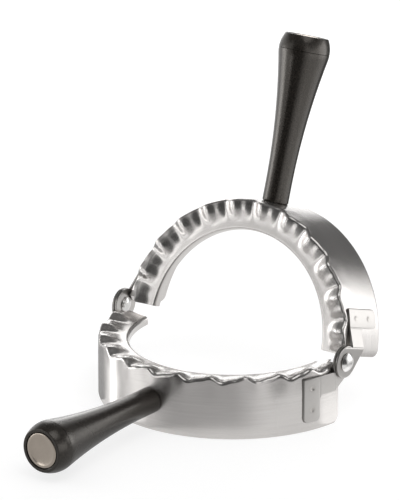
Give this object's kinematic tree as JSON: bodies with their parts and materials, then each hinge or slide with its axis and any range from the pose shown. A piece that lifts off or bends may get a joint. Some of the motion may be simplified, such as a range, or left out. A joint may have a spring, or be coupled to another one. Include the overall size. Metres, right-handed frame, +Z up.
{
  "type": "ravioli press",
  "caption": "Hinged steel ravioli press: half-ring cutters with waved crimping rims fold together on side rivets, each half with a black moulded grip.",
  "frame": {"origin": "on the surface that the press stands on, in the middle of the base of the front half ring", "axes": "+Z up, -Y towards the front grip, +X to the right of someone holding the front grip; the hinge axis is along X, behind and above the origin"},
  "size_m": [0.1358, 0.209, 0.1622],
  "materials": {
    "pressed_sheet": "satin polished stainless sheet",
    "hinge_plate": "satin stainless plate with spot welds",
    "rivet": "polished stainless",
    "friction_washer": "natural nylon",
    "grip": "moulded black plastic with a fine grain",
    "end_disc": "satin stainless, slightly dished",
    "insert": "machined brass",
    "screw": "stainless fastener"
  },
  "bodies": {
    "front_half": {"front_shell": "pressed_sheet", "front_hinge_left": "hinge_plate", "front_hinge_right": "hinge_plate", "left_rivet": "rivet", "right_rivet": "rivet", "left_friction_washer": "friction_washer", "right_friction_washer": "friction_washer", "front_grip": "grip", "front_end_ring": "grip", "front_end_disc": "end_disc", "front_grip_insert": "insert", "front_grip_screw": "screw", "front_saddle_washer": "screw"},
    "rear_half": {"rear_shell": "pressed_sheet", "rear_hinge_left": "hinge_plate", "rear_hinge_right": "hinge_plate", "rear_grip": "grip", "rear_end_ring": "grip", "rear_end_disc": "end_disc", "rear_grip_insert": "insert", "rear_grip_screw": "screw", "rear_saddle_washer": "screw"}
  },
  "joints": [
    {"name": "press_hinge", "type": "hinge", "parent": "front_half", "child": "rear_half", "pos_m": [0, 0.03435, 0.029], "axis": [1, 0, 0], "range_deg": [-72, 108]}
  ]
}
